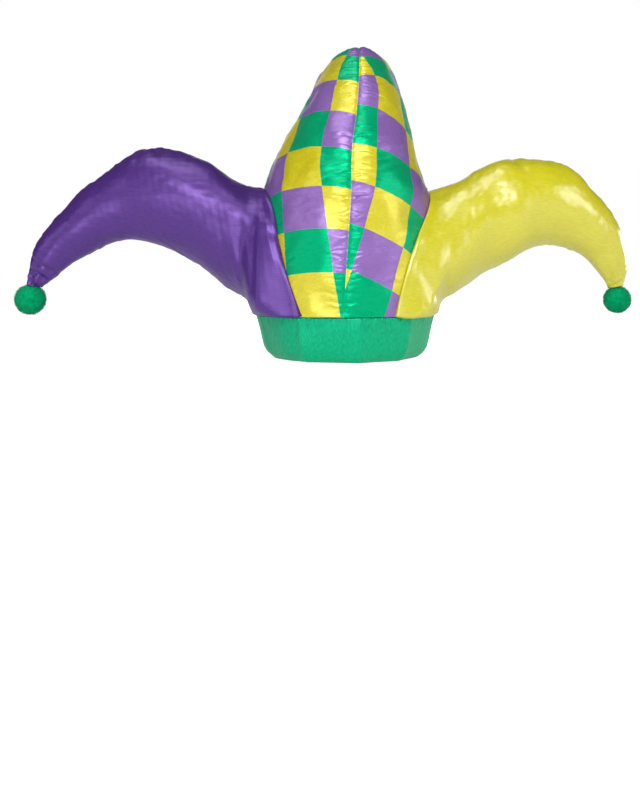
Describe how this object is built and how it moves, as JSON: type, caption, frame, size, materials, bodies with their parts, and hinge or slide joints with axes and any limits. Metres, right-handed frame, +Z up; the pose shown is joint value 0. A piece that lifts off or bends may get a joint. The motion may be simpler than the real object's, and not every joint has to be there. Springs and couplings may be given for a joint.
{
  "type": "jester hat",
  "caption": "Soft jester hat: a satin head band, a tall stuffed crown that leans back, a stuffed horn at each side and a pompom on each tip; open below for the head.",
  "frame": {"origin": "centre of the hat's box in plan, on the plane that the band's lower edge rests on", "axes": "+Z up, -Y towards the front of the wearer's face, +X towards the yellow horn"},
  "size_m": [0.621, 0.3266, 0.3112],
  "materials": {
    "green_satin": "satin",
    "chequered_satin": "satin",
    "purple_satin": "satin",
    "yellow_satin": "satin",
    "green_fluff": "matte"
  },
  "bodies": {
    "root": {"band": "green_satin", "crown": "chequered_satin", "purple_horn": "purple_satin", "yellow_horn": "yellow_satin", "purple_horn_pompom": "green_fluff", "yellow_horn_pompom": "green_fluff", "crown_pompom": "green_fluff"}
  },
  "joints": []
}
